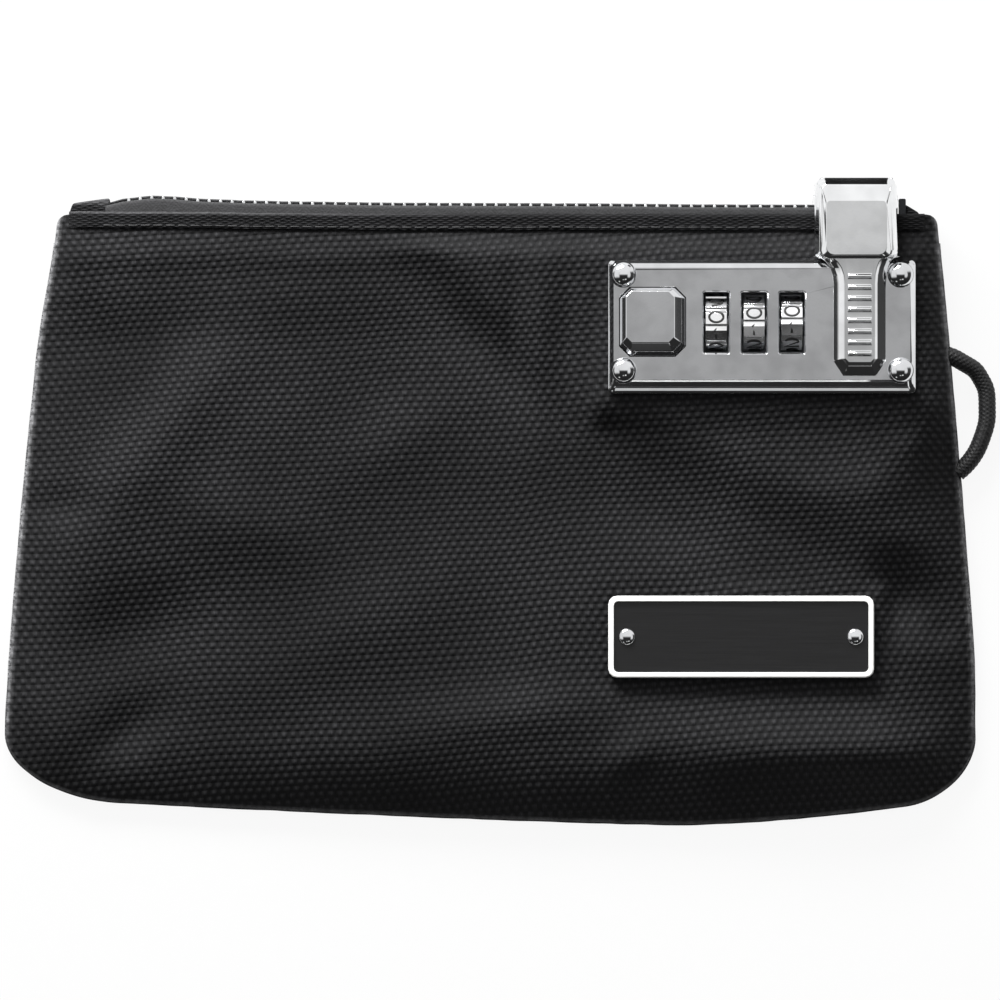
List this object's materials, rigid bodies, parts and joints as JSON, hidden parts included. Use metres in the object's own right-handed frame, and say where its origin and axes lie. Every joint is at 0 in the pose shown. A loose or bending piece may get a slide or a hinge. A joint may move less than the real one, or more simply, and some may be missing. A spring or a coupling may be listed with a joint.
{
  "type": "lockable pouch",
  "caption": "Flat black cloth zip pouch lying on its back, with a chrome combination lock that holds the zipper pull, a badge plate and a cord loop in the side seam.",
  "frame": {"origin": "centre of the bounding box at the back panel that lies on the table, measured without the cord loop", "axes": "+X along the mouth towards the lock, +Y towards the mouth, +Z out of the front panel"},
  "size_m": [0.207, 0.1352, 0.019],
  "materials": {
    "cloth": "coarse black weave",
    "tape": "black herringbone tape with metal teeth",
    "cord": "black braid",
    "chrome": "polished chrome plating",
    "steel": "bright steel",
    "zinc": "die-cast zinc",
    "badge_black": "black, finely brushed",
    "badge_white": "white enamel"
  },
  "bodies": {
    "pouch": {"front_panel": "cloth", "back_panel": "cloth", "seam_tape": "tape", "front_hem": "cloth", "back_hem": "cloth", "zipper_front": "tape", "zipper_back": "tape", "end_tab_left": "cloth", "end_tab_right": "cloth", "zip_stop_left": "chrome", "zip_stop_right": "chrome", "cord_loop": "cord", "lock_plate": "chrome", "lock_case": "zinc", "backing_plate": "steel", "axle": "steel", "rivet_1": "chrome", "rivet_2": "chrome", "rivet_3": "chrome", "rivet_4": "chrome", "bolt_spring": "steel", "button_spring": "steel", "detent_spring": "steel", "badge_plate": "badge_black", "badge_border": "badge_white", "badge_rivet_1": "chrome", "badge_rivet_2": "chrome"},
    "slider": {"slider_body": "zinc", "hinge_pin": "steel"},
    "pull": {"pull": "chrome"},
    "bolt": {"bolt_bar": "steel"},
    "button": {"button": "chrome"},
    "wheel_1": {"wheel_1": "chrome", "gate_disc_1": "steel"},
    "wheel_2": {"wheel_2": "chrome", "gate_disc_2": "steel"},
    "wheel_3": {"wheel_3": "chrome", "gate_disc_3": "steel"}
  },
  "joints": [
    {"name": "wheel_1_spin", "type": "hinge", "parent": "pouch", "child": "wheel_1", "pos_m": [0.0471, 0.03735, 0.0102], "axis": [1, 0, 0], "continuous": true},
    {"name": "wheel_2_spin", "type": "hinge", "parent": "pouch", "child": "wheel_2", "pos_m": [0.055, 0.03735, 0.0102], "axis": [1, 0, 0], "continuous": true},
    {"name": "wheel_3_spin", "type": "hinge", "parent": "pouch", "child": "wheel_3", "pos_m": [0.0629, 0.03735, 0.0102], "axis": [1, 0, 0], "continuous": true},
    {"name": "button_press", "type": "slide", "parent": "pouch", "child": "button", "axis": [0, 0, -1], "range_m": [0, 0.0016], "stiffness_N_per_m": 1500, "springref_m": -0.0008, "deforming": ["button_spring"]},
    {"name": "bolt_slide", "type": "slide", "parent": "pouch", "child": "bolt", "axis": [1, 0, 0], "range_m": [0, 0.002], "deforming": ["bolt_spring"]},
    {"name": "slider_travel", "type": "slide", "parent": "pouch", "child": "slider", "axis": [-1, 0, 0], "range_m": [0, 0.148], "deforming": ["zipper_front", "zipper_back"]},
    {"name": "pull_lift", "type": "hinge", "parent": "slider", "child": "pull", "pos_m": [0.0762, 0.0651, 0.006], "axis": [-1, 0, 0], "range_deg": [0, 100]}
  ],
  "couplings": [
    {"joint": "bolt_slide", "follows": "button_press", "ratio": 1.25},
    {"joint": "slider_travel", "follows": "pull_lift", "m_per_rad": 0.0847}
  ]
}
